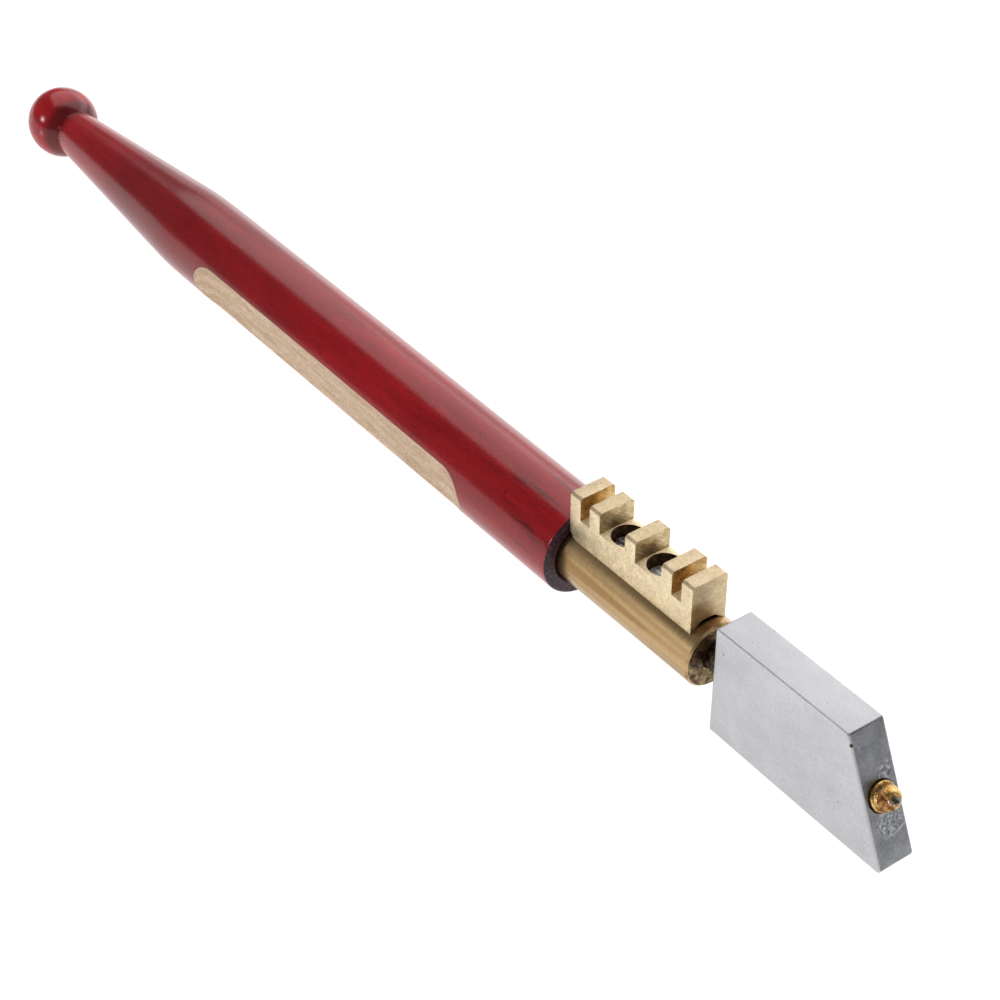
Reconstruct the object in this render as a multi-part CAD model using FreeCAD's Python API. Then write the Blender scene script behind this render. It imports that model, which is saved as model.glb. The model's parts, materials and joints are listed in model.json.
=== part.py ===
import FreeCAD, Part
import math
import os

# Diamond glass cutter: a turned wooden handle, a brass shank with a notched breaking bar,
# and an aluminium head block that swivels on a pin and carries the diamond stud.
# Millimetres. The handle's axis is X, the head points to +X and the notches face +Z.
# The parts are drawn with X = 0 at the handle's front face and Z = 0 on the handle's axis,
# then moved so that the origin is halfway along the cutter, level with the block's lower edge.

# Handle
handle_length = 131.8
front_wall = 1.775           # of wood round the tang
swell_rise = 0.12            # of the swell over the front end
shoulder_drop = 0.11         # of the cone's wide end under the front end
neck_radius = 3.3
ball_radius = 5.18
swell_from_face = 63.7
shoulder_from_face = 90.55
shoulder_length = 8.0        # over which the grip bends into the cone
face_round = 0.65
flat_depth = 1.14            # from the swell
flat_tilt = 103.0            # degrees, from the notch side towards -Y
flat_start = 21.0            # from the face to where the flat reaches its full depth
flat_length = 53.5
flat_runout_radius = 8.0
flat_cutter_rise = 3.0       # how far the cutter's end arcs are drawn
mouth_chamfer = 0.3

# Brass shank
shank_radius = 4.125
shank_nose = 1.5             # of shank in front of the bar
shank_chamfer = 0.25
tang_length = 26.0
glue_gap = 0.05

# Brad that pins the tang in the handle
brad_radius = 1.0
brad_length = 8.5
brad_sunk = 0.15
brad_from_face = 8.9
brad_tilt = 46.5             # degrees, from the notch side towards -Y

# Notched breaking bar
bar_width = 5.0
bar_rise = 5.625             # above the top of the shank
bar_gap = 0.2                # from the handle's face to the bar
bar_heel_radius = 1.4
bar_edge_chamfer = 0.3
tooth_width = 1.8
narrow_slot = 1.65
wide_notch = 4.5
narrow_slot_depth = 3.1
wide_notch_depth = 2.8
saddle_clearance = 0.02
relief_width = 1.8
relief_height = 0.3

# Screws that hold the bar; the front one also keeps the swivel pin
screw_radius = 1.0
screw_clearance = 0.1
thread_clearance = 0.02
head_radius = 1.8
head_height = 0.75
counterbore_clearance = 0.3
web_under_head = 0.42
drive_slot_width = 0.5
drive_slot_depth = 0.35
rear_screw_bite = 3.0
rear_hole_spare = 0.4
rear_drive_angle = 25.0
front_drive_angle = -35.0
tip_radius = 0.6
tip_clearance = 0.06

# Swivel pin
pin_radius = 1.6
pin_clearance = 0.04
pin_end_chamfer = 0.3
pin_past_screw = 2.0
pin_bore_spare = 0.6
pin_seat_depth = 8.0
stop_flat_from_axis = 0.9
stop_flat_spare = 0.12
swivel_limit = 15.0          # degrees each way

# Head block
head_gap = 2.5
block_width = 5.0
block_above = 7.0
block_below = 8.0
block_base_length = 27.2
front_rake = 24.0            # degrees, from the vertical
block_edge_round = 0.35

# Diamond stud
stud_radius = 1.65
stud_seat_depth = 8.0
stud_collar_radius = 1.75
stud_collar_height = 0.5
collar_clearance = 0.15
collar_recess = 0.3
nose_radius = 1.55
nose_height = 2.1
filed_flat_from_axis = 0.55
filed_flat_start = 0.95
filed_flat_turn = 110.0      # degrees, from the notch side towards -Y
solder_radius = 0.75
solder_sunk = 0.35           # the solder bead's centre, behind the end of the nose
diamond_radius = 0.6
diamond_showing = 0.7
diamond_clearance = 0.02

alongX = FreeCAD.Vector(1, 0, 0)
alongY = FreeCAD.Vector(0, 1, 0)
alongZ = FreeCAD.Vector(0, 0, 1)
centre = FreeCAD.Vector(0, 0, 0)
reach = 50.0                 # longer than any cut through the shank or the block

bore_radius = shank_radius + glue_gap
front_radius = bore_radius + front_wall
swell_radius = front_radius + swell_rise
shoulder_radius = front_radius - shoulder_drop
flat_from_axis = swell_radius - flat_depth
bar_start = bar_gap
notch_pattern = [narrow_slot, wide_notch, wide_notch, narrow_slot]
bar_length = (len(notch_pattern) + 1) * tooth_width + sum(notch_pattern)
bar_top = shank_radius + bar_rise
shank_exposed = bar_start + bar_length + shank_nose
saddle_radius = shank_radius + saddle_clearance
relief_top = saddle_radius + relief_height
screw_seat = relief_top + web_under_head
rear_screw_x = bar_start + 2 * tooth_width + narrow_slot + wide_notch / 2
front_screw_x = rear_screw_x + wide_notch + tooth_width
counterbore_radius = head_radius + counterbore_clearance
pin_start = front_screw_x - pin_past_screw
pin_end = shank_exposed + head_gap + pin_seat_depth
block_start = shank_exposed + head_gap
block_end = block_start + block_base_length
origin_x = (block_end - handle_length) / 2
brad_bottom = front_radius - brad_sunk - brad_length
rake = math.radians(front_rake)
turn = math.radians(swivel_limit)
# The screw's flat tip and the flat on the pin meet just past the swivel limit.
tip_height = (stop_flat_from_axis + tip_clearance + tip_radius * math.sin(turn)) / math.cos(turn)


def point(x, z):
    return FreeCAD.Vector(x, 0, z)


def line(start, end):
    return Part.LineSegment(start, end).toShape()


def arc(start, middle, end):
    return Part.Arc(start, middle, end).toShape()


def polygon(points):
    return Part.Face(Part.makePolygon(points + [points[0]]))


def turned(edges):
    return Part.Face(Part.Wire(edges)).revolve(centre, alongX, 360)


def turned_polygon(points):
    return polygon(points).revolve(centre, alongX, 360)


def across(face, width):
    """A face in the XZ plane made a solid, centred on Y = 0."""
    solid = face.extrude(FreeCAD.Vector(0, width, 0))
    solid.translate(FreeCAD.Vector(0, -width / 2, 0))
    return solid


def rod(radius, start, end):
    return Part.makeCylinder(radius, end - start, point(start, 0), alongX)


def post(radius, x, bottom, top):
    return Part.makeCylinder(radius, top - bottom, point(x, bottom), alongZ)


def handle_profile():
    """Edges of the handle's outline, from the face to the end of the ball."""
    ball_x = ball_radius - handle_length
    neck_x = ball_x + math.sqrt(ball_radius ** 2 - neck_radius ** 2)
    round_mid = face_round * (1 - math.sqrt(0.5))
    face_edge = point(0, front_radius - face_round)
    round_top = point(-face_round, front_radius)
    swell = point(-swell_from_face, swell_radius)
    bend = point(shoulder_length - shoulder_from_face, swell_radius)
    shoulder = point(-shoulder_from_face, shoulder_radius)
    neck = point(neck_x, neck_radius)
    level = point(-1, 0)
    grip = Part.BSplineCurve()
    grip.interpolate([round_top, swell], InitialTangent=level, FinalTangent=level)
    turn_in = Part.BSplineCurve()
    turn_in.interpolate([bend, shoulder], InitialTangent=level,
                        FinalTangent=(neck - shoulder).normalize())
    return [
        line(centre, face_edge),
        arc(face_edge, point(-round_mid, front_radius - round_mid), round_top),
        grip.toShape(),
        line(swell, bend),
        turn_in.toShape(),
        line(shoulder, neck),
        arc(neck, point(ball_x, ball_radius), point(-handle_length, 0)),
        line(point(-handle_length, 0), centre),
    ]


def grip_flat():
    """The cutter that planes the grip flat and runs out in an arc at each end."""
    sweep = math.acos(1 - flat_cutter_rise / flat_runout_radius)
    run = flat_runout_radius * math.sin(sweep)
    half_run = flat_runout_radius * math.sin(sweep / 2)
    half_rise = flat_runout_radius * (1 - math.cos(sweep / 2))
    near = -flat_start
    far = near - flat_length
    top = flat_from_axis + flat_cutter_rise
    edges = [
        line(point(far, flat_from_axis), point(near, flat_from_axis)),
        arc(point(near, flat_from_axis), point(near + half_run, flat_from_axis + half_rise),
            point(near + run, top)),
        line(point(near + run, top), point(far - run, top)),
        arc(point(far - run, top), point(far - half_run, flat_from_axis + half_rise),
            point(far, flat_from_axis)),
    ]
    cutter = across(Part.Face(Part.Wire(edges)), 4 * swell_radius)
    cutter.rotate(centre, alongX, flat_tilt)
    return cutter


def brad_shape(radius, bottom, top):
    brad = post(radius, -brad_from_face, bottom, top)
    brad.rotate(centre, alongX, brad_tilt)
    return brad


def brad_hole():
    return brad_shape(brad_radius + thread_clearance, brad_bottom, reach)


def tang_brad():
    return brad_shape(brad_radius, brad_bottom, brad_bottom + brad_length)


def handle():
    bore_end = -tang_length - glue_gap
    bore = turned_polygon([
        point(bore_end, 0),
        point(bore_end, bore_radius),
        point(-mouth_chamfer, bore_radius),
        point(0, bore_radius + mouth_chamfer),
        point(1, bore_radius + mouth_chamfer),
        point(1, 0),
    ])
    return turned(handle_profile()).cut(grip_flat()).cut(bore).cut(brad_hole())


def shank():
    body = turned_polygon([
        point(-tang_length, 0),
        point(-tang_length, shank_radius - shank_chamfer),
        point(-tang_length + shank_chamfer, shank_radius),
        point(shank_exposed - shank_chamfer, shank_radius),
        point(shank_exposed, shank_radius - shank_chamfer),
        point(shank_exposed, 0),
    ])
    pin_bore = rod(pin_radius + pin_clearance, pin_start - pin_bore_spare, reach)
    thread = screw_radius + thread_clearance
    rear_hole = post(thread, rear_screw_x, shank_radius - rear_screw_bite - rear_hole_spare, reach)
    front_hole = post(thread, front_screw_x, 0, reach)
    return body.cut(pin_bore).cut(rear_hole).cut(front_hole).cut(brad_hole())


def bar_outline():
    """Side view of the bar: the teeth on top, the rounded heel at the rear."""
    base = math.sqrt(saddle_radius ** 2 - (bar_width / 2) ** 2)
    heel_mid = bar_heel_radius * (1 - math.sqrt(0.5))
    edges = [
        arc(point(bar_start + bar_heel_radius, base), point(bar_start + heel_mid, base + heel_mid),
            point(bar_start, base + bar_heel_radius)),
    ]
    corners = [point(bar_start, base + bar_heel_radius), point(bar_start, bar_top)]
    x = bar_start
    for gap in notch_pattern:
        depth = narrow_slot_depth if gap == narrow_slot else wide_notch_depth
        x += tooth_width
        corners += [point(x, bar_top), point(x, bar_top - depth)]
        x += gap
        corners += [point(x, bar_top - depth), point(x, bar_top)]
    x += tooth_width
    corners += [point(x, bar_top), point(x, base), point(bar_start + bar_heel_radius, base)]
    edges += [line(a, b) for a, b in zip(corners, corners[1:])]
    return Part.Face(Part.Wire(edges))


def bar_section():
    """A prism along the bar with its two top edges chamfered."""
    half = bar_width / 2
    shoulder = bar_top - bar_edge_chamfer
    corners = [(-half, 0), (half, 0), (half, shoulder), (half - bar_edge_chamfer, bar_top),
               (bar_edge_chamfer - half, bar_top), (-half, shoulder)]
    face = polygon([FreeCAD.Vector(0, y, z) for y, z in corners])
    return face.extrude(alongX * reach)


def notch_bar():
    bar = across(bar_outline(), 2 * bar_width).common(bar_section())
    relief = Part.makeBox(reach, relief_width, relief_top, FreeCAD.Vector(0, -relief_width / 2, 0))
    bar = bar.cut(rod(saddle_radius, -reach, reach)).cut(relief)
    for x in (rear_screw_x, front_screw_x):
        bar = bar.cut(post(counterbore_radius, x, screw_seat, reach))
        bar = bar.cut(post(screw_radius + screw_clearance, x, 0, reach))
    return bar


def slotted_head(x, drive_angle):
    top = screw_seat + head_height
    head = post(head_radius, x, screw_seat, top)
    slot = Part.makeBox(2 * reach, drive_slot_width, reach,
                        FreeCAD.Vector(x - reach, -drive_slot_width / 2, top - drive_slot_depth))
    slot.rotate(point(x, 0), alongZ, drive_angle)
    return head.cut(slot)


def rear_bar_screw():
    head = slotted_head(rear_screw_x, rear_drive_angle)
    return head.fuse(post(screw_radius, rear_screw_x, shank_radius - rear_screw_bite, screw_seat))


def front_bar_screw():
    """Its turned-down tip stands over the flat on the swivel pin."""
    head = slotted_head(front_screw_x, front_drive_angle)
    thread_end = pin_radius + pin_clearance
    stem = post(screw_radius, front_screw_x, thread_end, screw_seat)
    tip = post(tip_radius, front_screw_x, tip_height, thread_end)
    return head.fuse(stem).fuse(tip)


def swivel_pin():
    pin = turned_polygon([
        point(pin_start, 0),
        point(pin_start, pin_radius - pin_end_chamfer),
        point(pin_start + pin_end_chamfer, pin_radius),
        point(pin_end - pin_end_chamfer, pin_radius),
        point(pin_end, pin_radius - pin_end_chamfer),
        point(pin_end, 0),
    ])
    half = tip_radius + stop_flat_spare
    stop_flat = Part.makeBox(2 * half, 4 * pin_radius, pin_radius,
                             FreeCAD.Vector(front_screw_x - half, -2 * pin_radius, stop_flat_from_axis))
    return pin.cut(stop_flat)


def face_middle():
    """The middle of the block's sloping front face."""
    half = (block_above + block_below) / 2
    return point(block_end - half * math.tan(rake), block_above - half)


def on_front_face(solid):
    """Moves a solid drawn along +X from the origin to the middle of the front face."""
    solid.rotate(centre, alongY, -front_rake)
    solid.translate(face_middle())
    return solid


def head_block():
    top_end = block_end - (block_above + block_below) * math.tan(rake)
    block = across(polygon([
        point(block_start, -block_below),
        point(block_end, -block_below),
        point(top_end, block_above),
        point(block_start, block_above),
    ]), block_width)
    block = block.makeFillet(block_edge_round, block.Edges)
    seat = on_front_face(rod(stud_radius, -stud_seat_depth, reach))
    recess = on_front_face(rod(stud_collar_radius + collar_clearance, -collar_recess, reach))
    return block.cut(rod(pin_radius, 0, pin_end)).cut(seat).cut(recess)


def diamond_shape(radius):
    """An octahedral crystal, point forward, drawn along +X from the front face."""
    middle = nose_height + diamond_showing - diamond_radius
    waist = [FreeCAD.Vector(middle, y * radius, z * radius)
             for y, z in ((1, 0), (0, 1), (-1, 0), (0, -1))]
    faces = []
    for tip in (point(middle + radius, 0), point(middle - radius, 0)):
        for first, second in zip(waist, waist[1:] + waist[:1]):
            faces.append(polygon([tip, first, second]))
    return Part.makeSolid(Part.makeShell(faces))


def solder_shape():
    return Part.makeSphere(solder_radius, point(nose_height - solder_sunk, 0))


def diamond_stud():
    """A turned brass stud, its domed nose filed away beside the diamond."""
    dome = (nose_height - stud_collar_height) * math.sqrt(0.5)
    end_radius = math.sqrt(solder_radius ** 2 - solder_sunk ** 2)
    shoulder = nose_radius - (nose_radius - end_radius) * (1 - math.sqrt(0.5))
    corners = [
        point(nose_height, end_radius),
        point(nose_height, 0),
        point(-stud_seat_depth, 0),
        point(-stud_seat_depth, stud_radius),
        point(-collar_recess, stud_radius),
        point(-collar_recess, stud_collar_radius),
        point(stud_collar_height, stud_collar_radius),
        point(stud_collar_height, nose_radius),
    ]
    edges = [line(a, b) for a, b in zip(corners, corners[1:])]
    edges.append(arc(corners[-1], point(stud_collar_height + dome, shoulder), corners[0]))
    filed = Part.makeBox(reach, reach, reach,
                         FreeCAD.Vector(filed_flat_start, -reach / 2, filed_flat_from_axis))
    filed.rotate(centre, alongX, filed_flat_turn)
    return on_front_face(turned(edges).cut(filed).cut(solder_shape()).cut(diamond_pocket()))


def diamond_pocket():
    return diamond_shape(diamond_radius + diamond_clearance)


def solder_bead():
    return on_front_face(solder_shape().cut(diamond_pocket()))


def diamond():
    return on_front_face(diamond_shape(diamond_radius))


parts = {
    "handle": handle(),
    "shank": shank(),
    "tang_brad": tang_brad(),
    "notch_bar": notch_bar(),
    "rear_bar_screw": rear_bar_screw(),
    "front_bar_screw": front_bar_screw(),
    "swivel_pin": swivel_pin(),
    "head_block": head_block(),
    "diamond_stud": diamond_stud(),
    "solder_bead": solder_bead(),
    "diamond": diamond(),
}

os.makedirs("parts", exist_ok=True)
for name, shape in parts.items():
    shape.translate(FreeCAD.Vector(-origin_x, 0, block_below))
    shape.exportStep("parts/" + name + ".step")
    print(name, "valid", shape.isValid(), "solids", len(shape.Solids), "volume", round(shape.Volume, 2))
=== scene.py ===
import json
import math
import random

import bmesh
import bpy
from mathutils import Matrix, Quaternion, Vector


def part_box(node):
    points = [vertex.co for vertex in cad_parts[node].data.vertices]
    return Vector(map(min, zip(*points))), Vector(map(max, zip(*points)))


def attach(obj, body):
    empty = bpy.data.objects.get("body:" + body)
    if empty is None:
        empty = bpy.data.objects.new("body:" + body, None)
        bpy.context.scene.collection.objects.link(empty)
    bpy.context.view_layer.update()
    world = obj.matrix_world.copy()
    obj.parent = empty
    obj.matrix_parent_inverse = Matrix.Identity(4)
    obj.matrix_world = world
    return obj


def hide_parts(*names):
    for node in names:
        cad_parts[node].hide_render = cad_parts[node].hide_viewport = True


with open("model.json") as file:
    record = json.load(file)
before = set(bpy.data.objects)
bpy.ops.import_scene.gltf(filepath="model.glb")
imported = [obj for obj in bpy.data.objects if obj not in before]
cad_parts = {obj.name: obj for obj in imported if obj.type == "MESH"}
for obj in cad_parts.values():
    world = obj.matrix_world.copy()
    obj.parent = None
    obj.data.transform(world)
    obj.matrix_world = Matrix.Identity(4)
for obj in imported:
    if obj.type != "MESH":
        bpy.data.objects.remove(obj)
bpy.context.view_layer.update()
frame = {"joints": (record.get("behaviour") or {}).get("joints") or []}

mm = 0.001
axisZ = frame["joints"][0]["pos_m"][2]          # height of the handle's axis
onAxis = Matrix.Translation((0, 0, axisZ))
print("frame loaded")


# helpers for meshes

def makeObject(name, bm):
    mesh = bpy.data.meshes.new(name)
    bm.to_mesh(mesh)
    bm.free()
    piece = bpy.data.objects.new(name, mesh)
    bpy.context.scene.collection.objects.link(piece)
    return piece


def turnOutline(outline, steps=96, place=onAxis):
    # outline is (x, radius) pairs in millimetres, spun about the local X axis
    bm = bmesh.new()
    ring = [bm.verts.new((x * mm, 0, r * mm)) for x, r in outline]
    for first, second in zip(ring, ring[1:]):
        bm.edges.new((first, second))
    bmesh.ops.spin(bm, geom=bm.verts[:] + bm.edges[:], cent=(0, 0, 0), axis=(1, 0, 0),
                   angle=2 * math.pi, steps=steps, use_merge=True)
    bmesh.ops.remove_doubles(bm, verts=bm.verts, dist=1e-7)
    bmesh.ops.recalc_face_normals(bm, faces=bm.faces)
    bmesh.ops.transform(bm, matrix=place, verts=bm.verts)
    return bm


def slab(corners, width, place=onAxis):
    # corners are (x, z) pairs in millimetres; the slab is centred on Y = 0
    bm = bmesh.new()
    side = bm.faces.new([bm.verts.new((x * mm, -width / 2 * mm, z * mm)) for x, z in corners])
    grown = bmesh.ops.extrude_face_region(bm, geom=[side])["geom"]
    moved = [v for v in grown if isinstance(v, bmesh.types.BMVert)]
    bmesh.ops.translate(bm, vec=(0, width * mm, 0), verts=moved)
    bmesh.ops.recalc_face_normals(bm, faces=bm.faces)
    bmesh.ops.transform(bm, matrix=place, verts=bm.verts)
    return bm


def sharpEdges(bm, degrees=30):
    limit = math.radians(degrees)
    return [e for e in bm.edges if len(e.link_faces) == 2 and e.calc_face_angle(0) > limit]


def soften(bm, width, segments=2, degrees=30):
    bmesh.ops.bevel(bm, geom=sharpEdges(bm, degrees), offset=width * mm, segments=segments,
                    affect="EDGES", profile=0.5, material=-1, clamp_overlap=True)


def cylinderTool(radius, bottom, top, place, steps=48):
    bm = bmesh.new()
    middle = Matrix.Translation((0, 0, (bottom + top) / 2 * mm))
    bmesh.ops.create_cone(bm, cap_ends=True, segments=steps, radius1=radius * mm, radius2=radius * mm,
                          depth=(top - bottom) * mm, matrix=place @ middle)
    return makeObject("tool", bm)


def bakeModifiers(piece):
    view = bpy.context.evaluated_depsgraph_get()
    done = bpy.data.meshes.new_from_object(piece.evaluated_get(view), depsgraph=view)
    old = piece.data
    piece.modifiers.clear()
    piece.data = done
    done.name = piece.name
    bpy.data.meshes.remove(old)


def carve(piece, tool, finish=None):
    # cuts the tool out of the piece; the cut faces take the finish
    if finish:
        tool.data.materials.append(finish)
    cut = piece.modifiers.new("carve", "BOOLEAN")
    cut.operation = "DIFFERENCE"
    cut.solver = "EXACT"
    cut.material_mode = "TRANSFER"
    cut.object = tool
    bakeModifiers(piece)
    bpy.data.objects.remove(tool)


def breakEdges(piece, width, degrees=25, segments=2):
    bevel = piece.modifiers.new("breakEdges", "BEVEL")
    bevel.width = width * mm
    bevel.segments = segments
    bevel.limit_method = "ANGLE"
    bevel.angle_limit = math.radians(degrees)
    bakeModifiers(piece)


def paintFaces(piece, finish, rule):
    piece.data.materials.append(finish)
    index = len(piece.data.materials) - 1
    for face in piece.data.polygons:
        if rule(face.center, face.normal):
            face.material_index = index


def fitPiece(piece, body, node, sharp=30):
    piece.data.shade_smooth()
    piece.data.set_sharp_from_angle(angle=math.radians(sharp))
    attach(piece, body)
    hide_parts(node)
    print("made", piece.name, len(piece.data.polygons), "faces")


# helpers for materials; patterns are in millimetres of object space

def startFinish(name, **values):
    finish = bpy.data.materials.new(name)
    finish.use_nodes = True
    shader = finish.node_tree.nodes["Principled BSDF"]
    for socket, value in values.items():
        shader.inputs[socket.replace("_", " ")].default_value = value
    return finish, finish.node_tree, shader


def patternPoint(tree, stretch=(1, 1, 1), turn=(0, 0, 0)):
    place = tree.nodes.new("ShaderNodeTexCoord")
    rotate = tree.nodes.new("ShaderNodeMapping")
    rotate.inputs["Rotation"].default_value = [math.radians(t) for t in turn]
    scale = tree.nodes.new("ShaderNodeMapping")
    scale.inputs["Scale"].default_value = [s / mm for s in stretch]
    tree.links.new(place.outputs["Object"], rotate.inputs["Vector"])
    tree.links.new(rotate.outputs["Vector"], scale.inputs["Vector"])
    return scale.outputs["Vector"]


def noise(tree, point, scale, detail=3.0, roughness=0.5, distortion=0.0):
    node = tree.nodes.new("ShaderNodeTexNoise")
    node.inputs["Scale"].default_value = scale
    node.inputs["Detail"].default_value = detail
    node.inputs["Roughness"].default_value = roughness
    node.inputs["Distortion"].default_value = distortion
    tree.links.new(point, node.inputs["Vector"])
    return node.outputs["Fac"]


def alongHandle(tree, start, end):
    # 0 before start and 1 past end, in millimetres along X
    place = tree.nodes.new("ShaderNodeTexCoord")
    split = tree.nodes.new("ShaderNodeSeparateXYZ")
    reach = tree.nodes.new("ShaderNodeMapRange")
    reach.inputs["From Min"].default_value = start * mm
    reach.inputs["From Max"].default_value = end * mm
    tree.links.new(place.outputs["Object"], split.inputs["Vector"])
    tree.links.new(split.outputs["X"], reach.inputs["Value"])
    return reach.outputs["Result"]


def aroundPoint(tree, centre, reach):
    # 1 at the centre, falling to 0 at the reach
    place = tree.nodes.new("ShaderNodeTexCoord")
    shift = tree.nodes.new("ShaderNodeMapping")
    shift.inputs["Scale"].default_value = [1 / reach] * 3
    shift.inputs["Location"].default_value = [-c / reach for c in centre]
    ball = tree.nodes.new("ShaderNodeTexGradient")
    ball.gradient_type = "SPHERICAL"
    tree.links.new(place.outputs["Object"], shift.inputs["Vector"])
    tree.links.new(shift.outputs["Vector"], ball.inputs["Vector"])
    return ball.outputs["Fac"]


def ramp(tree, factor, stops):
    node = tree.nodes.new("ShaderNodeValToRGB")
    band = node.color_ramp
    while len(band.elements) < len(stops):
        band.elements.new(0.5)
    for element, (place, colour) in zip(band.elements, stops):
        element.position = place
        element.color = colour if len(colour) == 4 else (*colour, 1)
    tree.links.new(factor, node.inputs["Fac"])
    return node.outputs["Color"]


def grey(value):
    return (value, value, value)


def mixColour(tree, kind, factor, first, second):
    node = tree.nodes.new("ShaderNodeMix")
    node.data_type = "RGBA"
    node.blend_type = kind
    for name, value in (("Factor", factor), ("A", first), ("B", second)):
        socket = [s for s in node.inputs if s.name == name and s.type in ("VALUE", "RGBA")]
        socket = socket[0] if name == "Factor" else [s for s in socket if s.type == "RGBA"][0]
        if isinstance(value, bpy.types.NodeSocket):
            tree.links.new(value, socket)
        else:
            socket.default_value = value
    return [s for s in node.outputs if s.type == "RGBA"][0]


def addBump(tree, shader, height, depth, coat=False):
    node = tree.nodes.new("ShaderNodeBump")
    node.inputs["Distance"].default_value = depth * mm
    tree.links.new(height, node.inputs["Height"])
    tree.links.new(node.outputs["Normal"], shader.inputs["Normal"])
    if coat:
        tree.links.new(node.outputs["Normal"], shader.inputs["Coat Normal"])


shadeReach = 3.4          # millimetres
grimeReach = 4.4


def darkenedAround(tree, colour, places, reach, tone=(0.3, 0.2, 0.13)):
    # darkens the colour round each place; this serves both as painted shade and as a stain
    for place in places:
        near = ramp(tree, aroundPoint(tree, place, reach * mm), [(0.15, grey(1.0)), (0.5, tone)])
        colour = mixColour(tree, "MULTIPLY", 1.0, colour, near)
    return colour


def tuned(colour, tone):
    return tuple(c * t for c, t in zip(colour, tone))


# finishes

def lacqueredWood():
    finish, tree, shader = startFinish("lacqueredWood", Roughness=0.5, Specular_IOR_Level=0.0,
                                       Coat_Weight=1.0, Coat_Roughness=0.19, Coat_IOR=1.47)
    grain = noise(tree, patternPoint(tree, (0.1, 0.6, 0.6)), 1.0, 3.0, 0.55)
    specks = noise(tree, patternPoint(tree, (0.7, 1, 1)), 3.6, 4.0, 0.7)
    cracks = noise(tree, patternPoint(tree, (0.07, 1, 1)), 1.3, 3.0, 0.6, 0.4)
    body = ramp(tree, grain, [(0.3, (0.28, 0.001, 0.006)), (0.7, (0.4, 0.005, 0.01))])
    fleck = ramp(tree, specks, [(0.34, grey(0.72)), (0.5, grey(0.96)), (0.66, grey(1.14))])
    crack = ramp(tree, cracks, [(0.33, grey(0.42)), (0.44, grey(1.0)), (0.6, grey(1.0)),
                                (0.72, grey(1.3))])
    # painted light and shade along the handle: the colour is darkened in the groove at the neck and in the
    # middle of the taper, and lightened on the ball, just past the neck and towards the face
    first, last = -88, 36
    shadingStops = [(-85, 1.25), (-84, 0.42), (-82.6, 0.5), (-81, 1.2), (-70, 0.95), (-60, 0.68), (-45, 0.8),
              (-25, 0.9), (0, 1.15), (20, 1.0)]
    deep = ramp(tree, alongHandle(tree, first, last),
                [((x - first) / (last - first), grey(shade)) for x, shade in shadingStops])
    colour = mixColour(tree, "MULTIPLY", 1.0, mixColour(tree, "MULTIPLY", 1.0, body, deep), fleck)
    cracksStart, cracksFull = 16, 34
    nearFace = alongHandle(tree, cracksStart, cracksFull)
    colour = mixColour(tree, "MULTIPLY", nearFace, colour, crack)
    tree.links.new(colour, shader.inputs["Base Color"])
    peel = noise(tree, patternPoint(tree), 1.8, 4.0, 0.65)
    addBump(tree, shader, peel, 0.016, coat=True)
    return finish


def bareWood():
    finish, tree, shader = startFinish("bareWood", Roughness=0.8, Specular_IOR_Level=0.25)
    streaks = noise(tree, patternPoint(tree, (0.2, 1, 1)), 0.8, 4.0, 0.6)
    fibres = noise(tree, patternPoint(tree, (0.6, 1, 1)), 3.6, 4.0, 0.7)
    body = ramp(tree, streaks, [(0.34, (0.6, 0.425, 0.28)), (0.66, (0.77, 0.59, 0.43))])
    pores = ramp(tree, fibres, [(0.34, (0.7, 0.64, 0.58)), (0.5, grey(0.97)), (0.66, grey(1.12))])
    tree.links.new(mixColour(tree, "MULTIPLY", 1.0, body, pores), shader.inputs["Base Color"])
    addBump(tree, shader, fibres, 0.06)
    return finish


def stainedEndGrain():
    finish, tree, shader = startFinish("stainedEndGrain", Roughness=0.38, Specular_IOR_Level=0.35)
    dots = noise(tree, patternPoint(tree), 2.4, 4.0, 0.65)
    tree.links.new(ramp(tree, dots, [(0.36, (0.008, 0.002, 0.006)), (0.55, (0.04, 0.01, 0.022)),
                                     (0.72, (0.2, 0.075, 0.12))]), shader.inputs["Base Color"])
    addBump(tree, shader, dots, 0.1)
    return finish


def turnedBrass():
    finish, tree, shader = startFinish("turnedBrass", Metallic=1.0)
    rings = noise(tree, patternPoint(tree, (8, 0.6, 0.6)), 1.0, 4.0, 0.7)
    # lengthwise lighter and darker bands: partly stains, partly painted reflection stripes of the turned rod
    stainAndSheenBands = noise(tree, patternPoint(tree, (0.04, 1, 1)), 0.8, 1.5, 0.5)
    body = ramp(tree, rings, [(0.32, (0.42, 0.275, 0.125)), (0.68, (0.51, 0.35, 0.18))])
    tint = ramp(tree, stainAndSheenBands, [(0.36, (0.7, 0.63, 0.54)), (0.5, grey(1.0)),
                               (0.64, (1.14, 1.15, 1.18))])
    tree.links.new(mixColour(tree, "MULTIPLY", 1.0, body, tint), shader.inputs["Base Color"])
    tree.links.new(ramp(tree, rings, [(0.3, grey(0.26)), (0.7, grey(0.36))]), shader.inputs["Roughness"])
    addBump(tree, shader, rings, 0.006)
    return finish


def roughBrassEnd():
    finish, tree, shader = startFinish("roughBrassEnd", Metallic=1.0, Roughness=0.38)
    marks = noise(tree, patternPoint(tree), 1.3, 5.0, 0.7)
    colour = ramp(tree, marks, [(0.36, (0.03, 0.018, 0.01)), (0.5, (0.22, 0.14, 0.06)),
                                (0.66, (0.66, 0.5, 0.26))])
    low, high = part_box("shank")
    sideways, upwards = 0.6, 0.55          # of the rod's radius
    # painted shade: a dark spot on the upper near part of the end face, beside the head block
    paintedShade = (high.x, low.y * sideways, axisZ + high.y * upwards)
    tree.links.new(darkenedAround(tree, colour, [paintedShade], shadeReach), shader.inputs["Base Color"])
    addBump(tree, shader, marks, 0.3)
    return finish


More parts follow.
